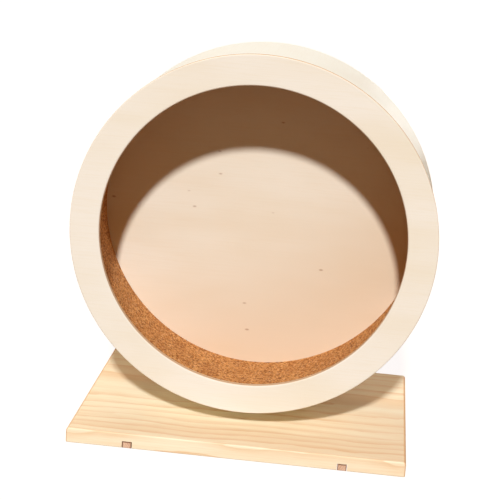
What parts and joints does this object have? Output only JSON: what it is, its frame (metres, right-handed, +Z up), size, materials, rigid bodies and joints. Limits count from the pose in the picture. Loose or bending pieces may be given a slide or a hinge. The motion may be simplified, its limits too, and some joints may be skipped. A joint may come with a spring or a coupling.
{
  "type": "wooden hamster wheel",
  "caption": "Wooden running wheel for a small pet: a cork-lined plywood drum with an open front, turning on ball bearings on a post fixed to a pine base.",
  "frame": {"origin": "centre of the base board's underside", "axes": "+Z up, +Y from the drum's open front towards the post behind it, +X to the right as seen from the front"},
  "size_m": [0.28, 0.186, 0.306],
  "materials": {
    "ring_plywood": "sanded, matt",
    "shell_plywood": "sanded, matt",
    "panel_plywood": "sanded, matt",
    "cover_plywood": "sanded, matt",
    "cork": "granulated cork, matt",
    "pine": "planed, matt",
    "cleat_wood": "sawn end grain",
    "hub_beech": "turned, matt",
    "zinc_steel": "zinc plated",
    "screw_steel": "yellow zinc plated",
    "bearing_steel": "ground",
    "ball_steel": "polished",
    "cage_steel": "pressed sheet"
  },
  "bodies": {
    "stand": {"base_board": "pine", "left_cleat": "cleat_wood", "right_cleat": "cleat_wood", "upright_board": "pine", "upright_screws": "screw_steel", "axle_bolt": "zinc_steel", "front_spacer": "zinc_steel", "middle_spacer": "zinc_steel", "rear_spacer": "zinc_steel", "front_washer": "zinc_steel", "rear_washer": "zinc_steel", "dome_nut": "zinc_steel", "front_bearing_inner_ring": "bearing_steel", "rear_bearing_inner_ring": "bearing_steel"},
    "wheel": {"front_ring": "ring_plywood", "drum_shell": "shell_plywood", "back_panel": "panel_plywood", "cork_track": "cork", "hub_block": "hub_beech", "hub_cover": "cover_plywood", "hub_cover_screws": "screw_steel", "front_bearing_outer_ring": "bearing_steel", "rear_bearing_outer_ring": "bearing_steel", "front_bearing_shields": "cage_steel", "rear_bearing_shields": "cage_steel"},
    "front_ball_cage": {"front_bearing_balls": "ball_steel", "front_bearing_cage": "cage_steel"},
    "rear_ball_cage": {"rear_bearing_balls": "ball_steel", "rear_bearing_cage": "cage_steel"}
  },
  "joints": [
    {"name": "wheel_spin", "type": "hinge", "parent": "stand", "child": "wheel", "pos_m": [0, 0.046, 0.166], "axis": [0, 1, 0], "continuous": true},
    {"name": "front_cage_spin", "type": "hinge", "parent": "stand", "child": "front_ball_cage", "pos_m": [0, 0.0415, 0.166], "axis": [0, 1, 0], "continuous": true},
    {"name": "rear_cage_spin", "type": "hinge", "parent": "stand", "child": "rear_ball_cage", "pos_m": [0, 0.0505, 0.166], "axis": [0, 1, 0], "continuous": true}
  ],
  "couplings": [
    {"joint": "front_cage_spin", "follows": "wheel_spin", "ratio": 0.6323},
    {"joint": "rear_cage_spin", "follows": "wheel_spin", "ratio": 0.6323}
  ]
}
